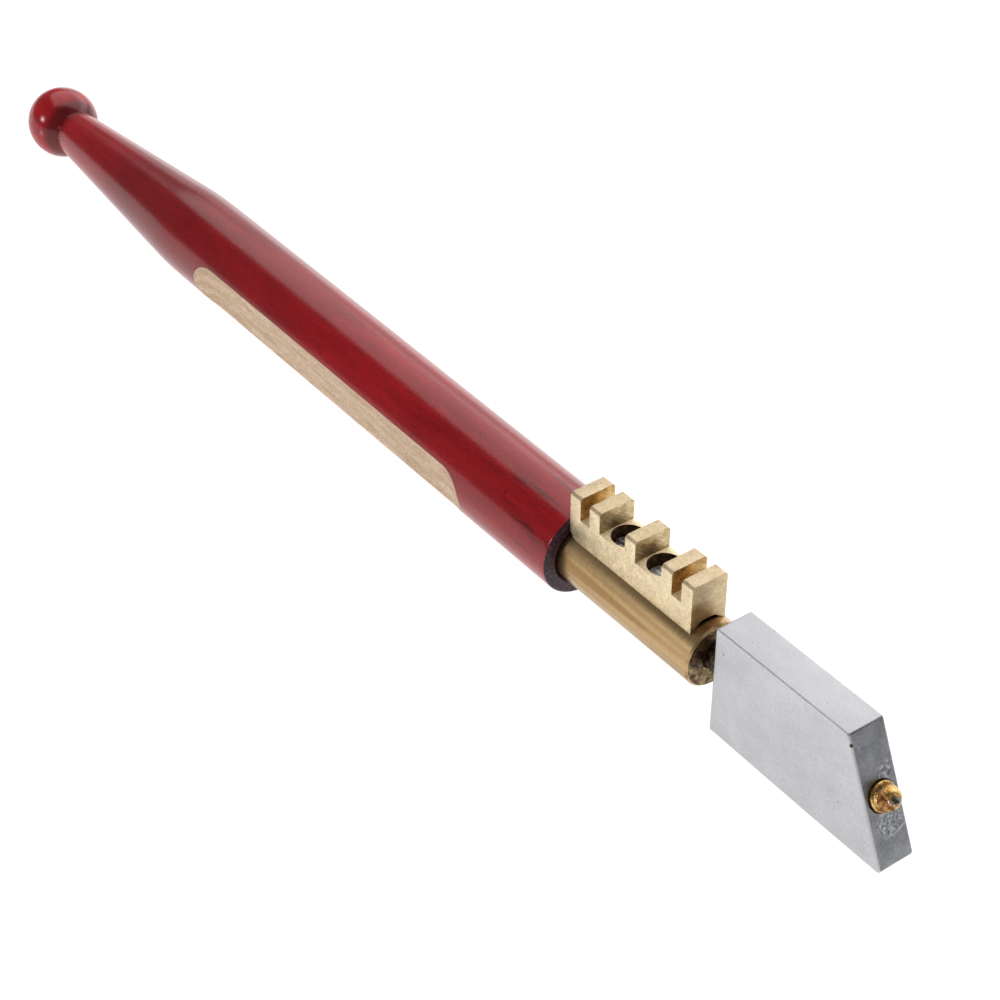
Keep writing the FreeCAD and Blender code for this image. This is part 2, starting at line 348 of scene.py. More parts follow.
def milledBrass(name="milledBrass", tone=(1, 1, 1), darkPlaces=()):
    finish, tree, shader = startFinish(name, Metallic=0.9)
    blotch = noise(tree, patternPoint(tree), 0.8, 3.0, 0.6)
    grit = noise(tree, patternPoint(tree), 4.2, 5.0, 0.75)
    warm = noise(tree, patternPoint(tree), 2.1, 3.0, 0.6)
    body = ramp(tree, blotch, [(0.34, tuned((0.78, 0.67, 0.465), tone)),
                               (0.66, tuned((0.94, 0.835, 0.61), tone))])
    specks = ramp(tree, grit, [(0.33, (0.68, 0.61, 0.52)), (0.5, grey(0.97)), (0.67, (1.16, 1.15, 1.14))])
    blush = ramp(tree, warm, [(0.35, (1.0, 1.0, 0.94)), (0.65, (1.0, 0.93, 0.9))])
    colour = mixColour(tree, "MULTIPLY", 1.0, body, specks)
    colour = mixColour(tree, "MULTIPLY", 1.0, colour, blush)
    colour = darkenedAround(tree, colour, darkPlaces, grimeReach, (0.6, 0.47, 0.33))
    tree.links.new(colour, shader.inputs["Base Color"])
    tree.links.new(ramp(tree, grit, [(0.3, grey(0.42)), (0.7, grey(0.6))]), shader.inputs["Roughness"])
    addBump(tree, shader, grit, 0.035)
    return finish


def sawnBrass(name, dark, light, darkPlaces=()):
    finish, tree, shader = startFinish(name, Metallic=0.95)
    scratches = noise(tree, patternPoint(tree, (1, 0.35, 4.5), (38, 0, 0)), 1.2, 4.0, 0.65)
    blotch = noise(tree, patternPoint(tree), 0.7, 3.0, 0.6)
    body = ramp(tree, scratches, [(0.32, dark), (0.68, light)])
    tint = ramp(tree, blotch, [(0.35, (0.68, 0.58, 0.46)), (0.62, (1.1, 1.12, 1.16))])
    colour = mixColour(tree, "MULTIPLY", 1.0, body, tint)
    tree.links.new(darkenedAround(tree, colour, darkPlaces, shadeReach), shader.inputs["Base Color"])
    tree.links.new(ramp(tree, scratches, [(0.3, grey(0.3)), (0.7, grey(0.5))]), shader.inputs["Roughness"])
    addBump(tree, shader, scratches, 0.04)
    return finish


def shadedBore():
    # painted shade: a dark brown-black for the cut faces of the counterbores, the relief notch, the stud
    # recess and the nick
    finish, tree, shader = startFinish("shadedBore", Metallic=0.6, Roughness=0.55)
    paintedShade = noise(tree, patternPoint(tree), 1.8, 4.0, 0.65)
    tree.links.new(ramp(tree, paintedShade, [(0.38, (0.03, 0.016, 0.009)), (0.7, (0.24, 0.14, 0.065))]),
                   shader.inputs["Base Color"])
    addBump(tree, shader, paintedShade, 0.05)
    return finish


def screwSteel():
    finish, tree, shader = startFinish("screwSteel", Metallic=1.0)
    wear = noise(tree, patternPoint(tree), 2.6, 4.0, 0.65)
    tree.links.new(ramp(tree, wear, [(0.34, (0.16, 0.155, 0.15)), (0.56, (0.76, 0.76, 0.79))]),
                   shader.inputs["Base Color"])
    tree.links.new(ramp(tree, wear, [(0.3, grey(0.3)), (0.7, grey(0.45))]), shader.inputs["Roughness"])
    addBump(tree, shader, wear, 0.04)
    return finish


def darkPinSteel():
    finish, tree, shader = startFinish("darkPinSteel", Metallic=1.0)
    wear = noise(tree, patternPoint(tree), 2.2, 4.0, 0.65)
    tree.links.new(ramp(tree, wear, [(0.38, (0.02, 0.014, 0.01)), (0.72, (0.2, 0.16, 0.11))]),
                   shader.inputs["Base Color"])
    tree.links.new(ramp(tree, wear, [(0.3, grey(0.35)), (0.7, grey(0.6))]), shader.inputs["Roughness"])
    return finish


def satinAluminium(name="satinAluminium", tone=1.0):
    finish, tree, shader = startFinish(name, Metallic=1.0)
    cloud = noise(tree, patternPoint(tree, (0.6, 1, 0.8)), 0.3, 4.0, 0.6)
    grit = noise(tree, patternPoint(tree), 4.2, 4.0, 0.75)
    pits = noise(tree, patternPoint(tree), 1.6, 1.0, 0.4)
    body = ramp(tree, cloud, [(0.32, tuned((0.53, 0.53, 0.547), grey(tone))),
                              (0.68, tuned((0.605, 0.605, 0.625), grey(tone)))])
    specks = ramp(tree, grit, [(0.32, grey(0.82)), (0.5, grey(1.0)), (0.68, grey(1.1))])
    spots = ramp(tree, pits, [(0.21, grey(0.35)), (0.25, grey(1.0))])
    colour = mixColour(tree, "MULTIPLY", 1.0, body, specks)
    tree.links.new(mixColour(tree, "MULTIPLY", 1.0, colour, spots), shader.inputs["Base Color"])
    tree.links.new(ramp(tree, grit, [(0.3, grey(0.4)), (0.7, grey(0.54))]), shader.inputs["Roughness"])
    addBump(tree, shader, grit, 0.02)
    return finish


def filedShadedAluminium():
    # filed face with bright and dark punch marks below the stud and at its upper side; its base colour, much
    # darker than the satin faces, is painted shade
    finish, tree, shader = startFinish("filedShadedAluminium", Metallic=1.0)
    grit = noise(tree, patternPoint(tree, (1, 1, 1)), 3.2, 4.0, 0.7)
    cloud = noise(tree, patternPoint(tree), 0.6, 3.0, 0.5)
    marks = noise(tree, patternPoint(tree), 2.2, 4.0, 0.7)
    body = ramp(tree, cloud, [(0.35, (0.225, 0.23, 0.245)), (0.65, (0.3, 0.305, 0.325))])
    specks = ramp(tree, grit, [(0.35, grey(0.8)), (0.65, grey(1.15))])
    colour = mixColour(tree, "MULTIPLY", 1.0, body, specks)
    bright = ramp(tree, marks, [(0.5, grey(0.0)), (0.6, grey(0.75))])
    dark = ramp(tree, marks, [(0.38, grey(0.7)), (0.45, grey(0.0))])
    brightMark, darkMark, rimMark = (0.58, 0.59, 0.62, 1), (0.13, 0.13, 0.14, 1), (0.55, 0.56, 0.58, 1)
    for y, z, reach in block["peenPatches"]:
        centre = facePlace() @ Vector((0, y * mm, z * mm))
        near = ramp(tree, aroundPoint(tree, centre, reach * mm), [(0.0, grey(0.0)), (0.4, grey(1.0))])
        colour = mixColour(tree, "MIX", mixColour(tree, "MULTIPLY", 1.0, near, bright), colour, brightMark)
        colour = mixColour(tree, "MIX", mixColour(tree, "MULTIPLY", 1.0, near, dark), colour, darkMark)
    rim = ramp(tree, aroundPoint(tree, facePlace().translation, block["rimReach"] * mm),
               [(0.2, grey(0.0)), (0.215, grey(0.8)), (0.24, grey(0.0))])
    y, z, reach = block["rimPatch"]
    side = ramp(tree, aroundPoint(tree, facePlace() @ Vector((0, y * mm, z * mm)), reach * mm),
                [(0.1, grey(0.0)), (0.5, grey(1.0))])
    colour = mixColour(tree, "MIX", mixColour(tree, "MULTIPLY", 1.0, rim, side), colour, rimMark)
    tree.links.new(colour, shader.inputs["Base Color"])
    tree.links.new(ramp(tree, grit, [(0.3, grey(0.36)), (0.7, grey(0.48))]), shader.inputs["Roughness"])
    addBump(tree, shader, grit, 0.02)
    return finish


def goldenBrass():
    finish, tree, shader = startFinish("goldenBrass", Metallic=1.0)
    marks = noise(tree, patternPoint(tree), 1.5, 4.0, 0.65)
    tree.links.new(ramp(tree, marks, [(0.34, (0.26, 0.12, 0.035)), (0.5, (0.56, 0.33, 0.1)),
                                      (0.68, (0.86, 0.62, 0.27))]), shader.inputs["Base Color"])
    tree.links.new(ramp(tree, marks, [(0.2, grey(0.18)), (0.8, grey(0.36))]), shader.inputs["Roughness"])
    addBump(tree, shader, marks, 0.08)
    return finish


def shadedFiledFlat():
    # the filed flat of the nose: dark purple painted shade mottled with orange-brown brass
    finish, tree, shader = startFinish("shadedFiledFlat", Metallic=0.9)
    flatMottle = noise(tree, patternPoint(tree), 1.5, 4.0, 0.6)
    tree.links.new(ramp(tree, flatMottle, [(0.36, (0.05, 0.017, 0.025)), (0.46, (0.3, 0.13, 0.05)),
                                     (0.64, (0.68, 0.4, 0.14))]), shader.inputs["Base Color"])
    tree.links.new(ramp(tree, flatMottle, [(0.3, grey(0.25)), (0.7, grey(0.45))]), shader.inputs["Roughness"])
    addBump(tree, shader, flatMottle, 0.08)
    return finish


def solderWithGlints():
    finish, tree, shader = startFinish("solderWithGlints", Metallic=1.0, Roughness=0.25)
    # dark blotched solder; its pale near-white spots are painted glints
    blotchAndGlints = noise(tree, patternPoint(tree), 2.8, 4.0, 0.6)
    tree.links.new(ramp(tree, blotchAndGlints, [(0.36, (0.12, 0.05, 0.04)), (0.5, (0.36, 0.2, 0.1)),
                                     (0.64, (0.92, 0.88, 0.8))]), shader.inputs["Base Color"])
    addBump(tree, shader, blotchAndGlints, 0.1)
    return finish


def roughDiamond():
    finish, tree, shader = startFinish("roughDiamond", Roughness=0.05, IOR=1.75)
    cloud = noise(tree, patternPoint(tree), 2.2, 3.0, 0.5)
    tree.links.new(ramp(tree, cloud, [(0.36, (0.004, 0.005, 0.003)), (0.7, (0.06, 0.07, 0.045))]),
                   shader.inputs["Base Color"])
    return finish


# camera, floor and light

camera = {"lens": 84.9, "azimuth": 53.4, "elevation": 37.95, "distance": 0.2814,
          "aim": (0.02615, -0.0024, 0.008)}


def setCamera():
    turn, lift = math.radians(camera["azimuth"]), math.radians(camera["elevation"])
    back = Vector((math.sin(turn) * math.cos(lift), -math.cos(turn) * math.cos(lift), math.sin(lift)))
    data = bpy.data.cameras.new("camera")
    data.lens = camera["lens"]
    data.sensor_width = 36
    data.clip_start = 0.01
    eye = bpy.data.objects.new("camera", data)
    eye.location = Vector(camera["aim"]) + back * camera["distance"]
    eye.rotation_mode = "QUATERNION"
    eye.rotation_quaternion = (-back).to_track_quat("-Z", "Y")
    bpy.context.scene.collection.objects.link(eye)
    bpy.context.scene.camera = eye


floorSize = 4.0


def layFloor():
    # the cutter lies on the front lower edge of its head block and on the ball
    low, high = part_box("head_block")
    radius = handle["ballRadius"] * mm
    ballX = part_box("handle")[0].x + radius
    slope = math.atan2(axisZ - radius - low.z, high.x - ballX)
    bm = bmesh.new()
    bmesh.ops.create_grid(bm, x_segments=8, y_segments=8, size=floorSize)
    bmesh.ops.transform(bm, matrix=Matrix.Translation((high.x, 0, low.z)) @
                        Matrix.Rotation(slope, 4, "Y"), verts=bm.verts)
    floor = makeObject("floor", bm)
    finish, _, shader = startFinish("litWhiteSheet", Roughness=0.08, Emission_Strength=0.96)
    shader.inputs["Base Color"].default_value = (0.22, 0.22, 0.22, 1)
    shader.inputs["Emission Color"].default_value = (1, 1, 1, 1)
    floor.data.materials.append(finish)


softboxes = [
    {"name": "overhead", "place": (-0.514, 0.694, 0.834), "aim": (-0.514, 0.244, -0.116), "roll": -25,
     "size": (1.705, 2.1), "radiance": 1.5},
    {"name": "backdrop", "place": (-1.4, 2.3, 0.55), "aim": (-1.4, 0, 0.2), "roll": 0, "size": (6.6, 1.8),
     "radiance": 0.76},
    {"name": "sideLamp", "place": (-0.453, -1.37, 0.51), "aim": (0, 0, 0), "roll": 0, "size": (0.24, 0.24),
     "radiance": 20.0},
]
roomGrey = 0.2


def lightStudio():
    for box in softboxes:
        data = bpy.data.lights.new(box["name"], "AREA")
        data.shape = "RECTANGLE"
        data.size, data.size_y = box["size"]
        data.energy = box["radiance"] * math.pi * box["size"][0] * box["size"][1]
        lamp = bpy.data.objects.new(box["name"], data)
        lamp.location = box["place"]
        lamp.rotation_mode = "QUATERNION"
        pointing = (Vector(box["aim"]) - lamp.location).to_track_quat("-Z", "Y")
        lamp.rotation_quaternion = pointing @ Quaternion((0, 0, 1), math.radians(box["roll"]))
        bpy.context.scene.collection.objects.link(lamp)
    world = bpy.data.worlds.new("room")
    world.use_nodes = True
    world.node_tree.nodes["Background"].inputs["Color"].default_value = (1, 1, 1, 1)
    world.node_tree.nodes["Background"].inputs["Strength"].default_value = roomGrey
    bpy.context.scene.world = world
    bpy.context.scene.view_settings.view_transform = "Standard"


# handle: turned profile, grip flat, brad dimple

handle = {
    "frontRadius": 5.95, "swellRadius": 6.07, "shoulderRadius": 5.84, "neckRadius": 3.3,
    "ballRadius": 5.18, "swellFromFace": 63.7, "shoulderFromFace": 90.55, "shoulderLength": 8.0,
    "faceRound": 0.4, "boreRadius": 4.175, "boreDepth": 26.05, "mouthChamfer": 0.3,
    "flatFromAxis": 4.93, "flatTilt": 103.0, "flatStart": 21.0, "flatLength": 53.5, "flatRunout": 8.0,
    "bradFromFace": 8.9, "bradTilt": 46.5, "bradRadius": 1.0, "dimpleDepth": 0.05,
    "bradClearance": 0.02, "bradSunk": 0.03, "bradDome": ((-0.02, 0.7), (-0.07, 1.0)),
}


def gripRadius(x):
    # x is measured back from the handle's face, in millimetres
    d = handle
    bend = d["shoulderFromFace"] - d["shoulderLength"]
    if x <= d["swellFromFace"]:
        t = x / d["swellFromFace"]
        return d["frontRadius"] + (d["swellRadius"] - d["frontRadius"]) * (3 - 2 * t) * t * t
    if x <= bend:
        return d["swellRadius"]
    coneSlope = (d["neckRadius"] - d["shoulderRadius"]) / (neckFromFace() - d["shoulderFromFace"])
    t = (x - bend) / d["shoulderLength"]
    return (d["swellRadius"] + (d["shoulderRadius"] - d["swellRadius"]) * (3 - 2 * t) * t * t
            + (t ** 3 - t ** 2) * d["shoulderLength"] * coneSlope)


def handleLength():
    low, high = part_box("handle")
    return (high.x - low.x) / mm


def neckFromFace():
    ball = handleLength() - handle["ballRadius"]
    return ball - math.sqrt(handle["ballRadius"] ** 2 - handle["neckRadius"] ** 2)


def arcPoints(middle, radius, start, end, count):
    # (x, z) points round an arc, angles in degrees from +X towards +Z
    return [(middle[0] + radius * math.cos(math.radians(start + (end - start) * i / count)),
             middle[1] + radius * math.sin(math.radians(start + (end - start) * i / count)))
            for i in range(count + 1)]


def handleOutline(faceX):
    d = handle
    hollow = [(-d["boreDepth"], 0), (-d["boreDepth"], d["boreRadius"]),
              (-d["mouthChamfer"], d["boreRadius"]), (0, d["boreRadius"] + d["mouthChamfer"])]
    front = arcPoints((-d["faceRound"], d["frontRadius"] - d["faceRound"]), d["faceRound"], 0, 90, 8)
    gripSteps = 110
    grip = []
    for i in range(1, gripSteps + 1):
        x = d["faceRound"] + (d["shoulderFromFace"] - d["faceRound"]) * i / gripSteps
        grip.append((-x, gripRadius(x)))
    neck = neckFromFace()
    coneSteps = 24
    cone = []
    for i in range(1, coneSteps):
        t = i / coneSteps
        cone.append((-(d["shoulderFromFace"] + (neck - d["shoulderFromFace"]) * t),
                     d["shoulderRadius"] + (d["neckRadius"] - d["shoulderRadius"]) * t))
    ballX = d["ballRadius"] - handleLength()
    startAngle = math.degrees(math.atan2(d["neckRadius"], -neck - ballX))
    ball = arcPoints((ballX, 0), d["ballRadius"], startAngle, 180, 40)
    ball[-1] = (-handleLength(), 0)
    return [(faceX + x, r) for x, r in hollow + front + grip + cone + ball]


def gripCutter(faceX):
    d = handle
    rise = 3.0          # clears the wood at the ends of the flat
    width = 30
    sweep = math.degrees(math.acos(1 - rise / d["flatRunout"]))
    near = faceX - d["flatStart"]
    far = near - d["flatLength"]
    up = d["flatFromAxis"] + d["flatRunout"]
    corners = arcPoints((near, up), d["flatRunout"], -90, -90 + sweep, 24)
    corners += arcPoints((far, up), d["flatRunout"], -90 - sweep, -90, 24)
    turn = Matrix.Rotation(math.radians(d["flatTilt"]), 4, "X")
    return makeObject("gripCutter", slab(corners, width, onAxis @ turn))


def makeHandle():
    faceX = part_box("handle")[1].x / mm
    d = handle
    wood = makeObject("turnedHandle", turnOutline(handleOutline(faceX), steps=144))
    wood.data.materials.append(lacquer)
    carve(wood, gripCutter(faceX), bare)
    tilt = Matrix.Rotation(math.radians(d["bradTilt"]), 4, "X")
    place = Matrix.Translation(((faceX - d["bradFromFace"]) * mm, 0, 0))
    pastWood = 12
    carve(wood, cylinderTool(d["bradRadius"] + d["bradClearance"], d["frontRadius"] - d["dimpleDepth"],
                             pastWood, onAxis @ tilt @ place), lacquer)
    edge = (faceX - d["faceRound"] * 0.8) * mm
    paintFaces(wood, endGrain, lambda middle, normal: middle.x > edge and normal.x > 0.3)
    fitPiece(wood, "holder", "handle", sharp=20)
    deep = -3 * d["dimpleDepth"]
    sunk = Matrix.Translation((0, 0, (d["frontRadius"] - d["bradSunk"]) * mm))
    cap = [(0, 0), *d["bradDome"], (deep, d["bradRadius"]), (deep, 0)]
    brad = makeObject("lacqueredBrad", turnOutline(cap, 48, onAxis @ tilt @ place @ sunk @
                                                   Matrix.Rotation(math.radians(-90), 4, "Y")))
    brad.data.materials.append(lacquer)
    fitPiece(brad, "holder", "tang_brad", sharp=40)


# shank: turned rod with a rough sawn end and the bore for the swivel pin

shank = {"edgeRound": 0.25, "boreRadius": 1.64, "boreDepth": 11.6, "boreChamfer": 0.1}


def makeShank():
    low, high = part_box("shank")
    radius = (high.y - low.y) / 2 / mm
    start, end = low.x / mm, high.x / mm
    e = shank["edgeRound"]
    steps = 40
    side = [(start + e + (end - start - 2 * e) * i / steps, radius) for i in range(steps + 1)]
    outline = [(start, 0), (start, radius - e)] + side
    chamfer, inner, depth = shank["boreChamfer"], shank["boreRadius"], shank["boreDepth"]
    outline += [(end, radius - e), (end, inner + chamfer), (end - chamfer, inner), (end - depth, inner),
                (end - depth, 0)]
    rod = makeObject("brassShank", turnOutline(outline, steps=128))
    rod.data.materials.append(rodBrass)
    paintFaces(rod, rodEnd, lambda middle, normal: middle.x > (end - 0.01) * mm and normal.x > 0.9)
    fitPiece(rod, "holder", "shank", sharp=40)


# notched bar

bar = {"toothWidth": 1.8, "narrowSlot": 1.65, "wideNotch": 4.5, "narrowDepth": 3.1, "wideDepth": 2.8,
       "heelRadius": 1.4, "edgeChamfer": 0.3, "saddleClearance": 0.02, "reliefWidth": 1.8,
       "reliefHeight": 0.3, "boreRadius": 2.1, "screwSeat": 4.865, "edgeBreak": 0.07,
       "reliefSpan": (20, 90), "finishMargin": 0.5, "notchRoot": 1.0}


def barOutline(low, high, saddle):
    d = bar
    x, top = low.x / mm, (high.z - axisZ) / mm
    halfWidth = (high.y - low.y) / 2 / mm
    base = math.sqrt(saddle ** 2 - halfWidth ** 2)
    corners = arcPoints((x + d["heelRadius"], base + d["heelRadius"]), d["heelRadius"], 270, 180, 8)
    corners.append((x, top))
    for gap, depth in ((d["narrowSlot"], d["narrowDepth"]), (d["wideNotch"], d["wideDepth"]),
                       (d["wideNotch"], d["wideDepth"]), (d["narrowSlot"], d["narrowDepth"])):
        x += d["toothWidth"]
        corners += [(x, top), (x, top - depth), (x + gap, top - depth), (x + gap, top)]
        x += gap
    x += d["toothWidth"]
    return corners + [(x, top), (x, base)]


def chamferTop(bm, high):
    # planes both long top edges of the bar at 45 degrees
    size = bar["edgeChamfer"] * mm
    for side in (1, -1):
        corner = (0, side * (high.y - size), high.z)
        bmesh.ops.bisect_plane(bm, geom=bm.verts[:] + bm.edges[:] + bm.faces[:], dist=1e-8,
                               plane_co=corner, plane_no=(0, side, 1), clear_outer=True)
        bmesh.ops.holes_fill(bm, edges=[e for e in bm.edges if e.is_boundary], sides=0)
    bmesh.ops.recalc_face_normals(bm, faces=bm.faces)


def makeBar():
    d = bar
    low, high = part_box("notch_bar")
    rodLow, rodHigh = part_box("shank")
    saddle = (rodHigh.y - rodLow.y) / 2 / mm + d["saddleClearance"]
    bm = slab(barOutline(low, high, saddle), (high.y - low.y) / mm)
    chamferTop(bm, high)
    brass = makeObject("notchedBar", bm)
    brass.data.materials.append(barBrass)
    inside = (low.x + d["finishMargin"] * mm, high.x - d["finishMargin"] * mm)
    floorLine = axisZ + (saddle + d["notchRoot"]) * mm
    paintFaces(brass, notchBrass, lambda middle, normal: abs(normal.x) > 0.9
               and inside[0] < middle.x < inside[1] and middle.z > floorLine)
    # painted shade: the walls of the narrow slots take a darker, more saturated copy of the sawn brass
    narrow = (d["toothWidth"] + d["narrowSlot"] + 0.1) * mm
    paintFaces(brass, shadedSlotBrass, lambda middle, normal: abs(normal.x) > 0.9 and middle.z > floorLine and
               (inside[0] < middle.x < low.x + narrow or high.x - narrow < middle.x < inside[1]))
    # painted shade: the top faces take a darker copy of the bar's brass
    paintFaces(brass, shadedTopBrass, lambda middle, normal: middle.z > high.z - 0.4 * mm and normal.z > 0.5)
    # painted shade: the front face takes a darker copy of the bar's brass
    paintFaces(brass, shadedFrontBrass, lambda middle, normal: normal.x > 0.9 and middle.x > high.x - 0.1 * mm)
    along = Matrix.Rotation(math.radians(90), 4, "Y")
    farReach = 100
    carve(brass, cylinderTool(saddle, -farReach, farReach, onAxis @ along, steps=160), shadedSlotBrass)
    start, end = d["reliefSpan"]
    crown = saddle + d["reliefHeight"]
    relief = slab([(start, 0), (end, 0), (end, crown), (start, crown)], d["reliefWidth"])
    # the cut faces of the relief notch, and below those of the screw counterbores, take painted shade
    carve(brass, makeObject("relief", relief), bore)
    aboveBar = 20
    for node in ("rear_bar_screw", "front_bar_screw"):
        screwLow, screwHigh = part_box(node)
        place = onAxis @ Matrix.Translation(((screwLow.x + screwHigh.x) / 2, 0, 0))
        carve(brass, cylinderTool(d["boreRadius"], d["screwSeat"], aboveBar, place, steps=64), bore)
    breakEdges(brass, d["edgeBreak"], degrees=30)
    fitPiece(brass, "holder", "notch_bar", sharp=35)


# bar screws

screw = {"headHeight": 0.75, "edgeRound": 0.15, "slotWidth": 0.5, "slotDepth": 0.35, "stemRadius": 1.0,
         "tipChamfer": 0.15, "headChamfer": 0.05, "edgeBreak": 0.04,
         "driveAngles": {"rear_bar_screw": 25.0, "front_bar_screw": -35.0},
         "names": {"rear_bar_screw": "rearScrew", "front_bar_screw": "frontScrew"}}


def makeScrews():
    d = screw
    for node, angle in d["driveAngles"].items():
        low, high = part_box(node)
        radius = (high.y - low.y) / 2 / mm
        stem, tip, under = d["stemRadius"], d["tipChamfer"], d["headChamfer"]
        top, bottom = (high.z - axisZ) / mm, (low.z - axisZ) / mm
        seat = top - d["headHeight"]
        rim = arcPoints((top - d["edgeRound"], radius - d["edgeRound"]), d["edgeRound"], 90, 0, 5)
        outline = [(bottom, 0), (bottom, stem - tip), (bottom + tip, stem), (seat, stem),
                   (seat, radius - under), (seat + under, radius)] + rim + [(top, 0)]
        middleX = (low.x + high.x) / 2
        stand = Matrix.Translation((middleX, 0, axisZ)) @ Matrix.Rotation(math.radians(-90), 4, "Y")
        piece = makeObject(d["names"][node], turnOutline(outline, 64, stand))
        piece.data.materials.append(steel)
        reach, floorZ = 3, top - d["slotDepth"]
        slotTool = slab([(-reach, floorZ), (reach, floorZ), (reach, top + 1), (-reach, top + 1)],
                        d["slotWidth"], onAxis @ Matrix.Translation((middleX, 0, 0)) @
                        Matrix.Rotation(math.radians(angle), 4, "Z"))
        carve(piece, makeObject("driveSlot", slotTool), steel)
        breakEdges(piece, d["edgeBreak"], degrees=40)
        fitPiece(piece, "holder", node, sharp=35)


# swivel pin

pin = {"edgeChamfer": 0.3, "steps": 24}


def makePin():
    low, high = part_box("swivel_pin")
    radius = (high.y - low.y) / 2 / mm
    start, end = low.x / mm, high.x / mm
    e, steps = pin["edgeChamfer"], pin["steps"]
    side = [(start + e + (end - start - 2 * e) * i / steps, radius) for i in range(steps + 1)]
    outline = [(start, 0), (start, radius - e)] + side + [(end, radius - e), (end, 0)]
    piece = makeObject("swivelPin", turnOutline(outline, steps=64))
    piece.data.materials.append(pinSteel)
    fitPiece(piece, "head", "swivel_pin", sharp=40)


# head block with its filed front face, punched round the stud

block = {"baseLength": 27.2, "rake": 24.0, "edgeRound": 0.35, "edgeBreak": 0.28, "recessRadius": 1.9,
         "recessDepth": 0.3, "patchSize": (2.1, 4.9), "patchStep": 0.14, "peenDepth": 0.07,
         "peenPatches": ((0.3, -3.2, 2.1), (1.0, 2.5, 1.4)), "rimReach": 6, "rimPatch": (1.1, -4.6, 2),
         "nickHeight": 13.8, "nickRadius": 0.27, "nickInside": 0.1, "nickTurn": (0.5, (1, 2, 0.6)), "seed": 7}


def facePlace():
    # X points out of the middle of the block's front face
    low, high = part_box("head_block")
    middleZ = (low.z + high.z) / 2
    x = low.x + (block["baseLength"] * mm - (middleZ - low.z) * math.tan(math.radians(block["rake"])))
    return Matrix.Translation((x, 0, middleZ)) @ Matrix.Rotation(math.radians(-block["rake"]), 4, "Y")


def roundedCorners(corners, radius, steps=5):
    # replaces each corner of a closed outline with an arc
    outline = []
    for i, corner in enumerate(corners):
        here = Vector(corner)
        back = (Vector(corners[i - 1]) - here).normalized()
        ahead = (Vector(corners[(i + 1) % len(corners)]) - here).normalized()
        half = back.angle(ahead) / 2
        middle = here + (back + ahead).normalized() * radius / math.sin(half)
        start = here + back * radius / math.tan(half) - middle
        end = here + ahead * radius / math.tan(half) - middle
        sweep = start.angle_signed(end)
        for k in range(steps + 1):
            outline.append(tuple(middle + Matrix.Rotation(-sweep * k / steps, 2) @ start))
    return outline


def peenWeight(y, z):
    # full in the middle of each punched patch, nothing past its reach or round the stud
    if math.hypot(y, z) < block["recessRadius"] + 0.1:
        return 0.0
    return max(min(1, 1.6 * max(0, 1 - math.hypot(y - patchY, z - patchZ) / reach))
               for patchY, patchZ, reach in block["peenPatches"])


def peenFace(bm):
    # cuts a fine grid into the middle of the front face and dents it in the punched patches
    d = block
    place = facePlace()
    out = (place.to_3x3() @ Vector((1, 0, 0))).normalized()
    wide, high = d["patchSize"]
    for axis, size in (((0, 1, 0), wide), ((0, 0, 1), high)):
        count = round(2 * size / d["patchStep"])
        for i in range(count + 1):
            offset = -size + 2 * size * i / count
            face = [f for f in bm.faces if f.normal.dot(out) > 0.999]
            geom = list({v for f in face for v in f.verts}) + list({e for f in face for e in f.edges}) + face
            bmesh.ops.bisect_plane(bm, geom=geom, dist=1e-7, plane_co=place @ (Vector(axis) * offset * mm),
                                   plane_no=place.to_3x3() @ Vector(axis))
    rng = random.Random(d["seed"])
    inverse = place.inverted()
    front = sorted({v for f in bm.faces if f.normal.dot(out) > 0.999 for v in f.verts},
                   key=lambda v: (round(v.co.z, 7), round(v.co.y, 7)))
    for v in front:
        local = inverse @ v.co / mm
        v.co -= out * peenWeight(local.y, local.z) * rng.uniform(0.0, d["peenDepth"]) * mm


def makeBlock():
    d = block
    low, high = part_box("head_block")
    height = (high.z - low.z) / mm
    x = low.x / mm
    bottom, top = (low.z - axisZ) / mm, (high.z - axisZ) / mm
    run = height * math.tan(math.radians(d["rake"]))
    corners = [(x, bottom), (x + d["baseLength"], bottom), (x + d["baseLength"] - run, top), (x, top)]
    bm = slab(roundedCorners(corners, d["edgeRound"]), (high.y - low.y) / mm)
    soften(bm, d["edgeBreak"], segments=4, degrees=60)
    peenFace(bm)
    piece = makeObject("headBlock", bm)
    piece.data.materials.append(satin)
    place = facePlace()
    out = place.to_3x3() @ Vector((1, 0, 0))
    inverse = place.inverted()
    side = high.y - d["edgeBreak"] * mm
    # painted shade: the front face takes the darker filed finish; the bevel along its near edge is left out
    # of it and shows as a light line
    paintFaces(piece, filed, lambda middle, normal: normal.dot(out) > 0.7 and middle.y > -side
               and (inverse @ middle).x > -1.3 * d["peenDepth"] * mm)
    # painted shade: the top faces take a darker copy of the satin finish
    paintFaces(piece, shadedTopSatin, lambda middle, normal: normal.z > 0.9)
    # the cut faces of the stud recess and of the nick take painted shade
    upright = Matrix.Rotation(math.radians(90), 4, "Y")
    pastFace = 5
    recess = cylinderTool(d["recessRadius"], -d["recessDepth"], pastFace, place @ upright, steps=64)
    carve(piece, recess, bore)
    nickX = x + d["baseLength"] - d["nickHeight"] * math.tan(math.radians(d["rake"]))
    nickPlace = Matrix.Translation((nickX * mm, low.y + d["nickInside"] * mm, low.z + d["nickHeight"] * mm))
    angle, axis = d["nickTurn"]
    bm = bmesh.new()
    bmesh.ops.create_icosphere(bm, subdivisions=1, radius=d["nickRadius"] * mm,
                               matrix=nickPlace @ Matrix.Rotation(angle, 4, axis))
    carve(piece, makeObject("nick", bm), bore)
    fitPiece(piece, "head", "head_block", sharp=45)


# stud, solder and diamond

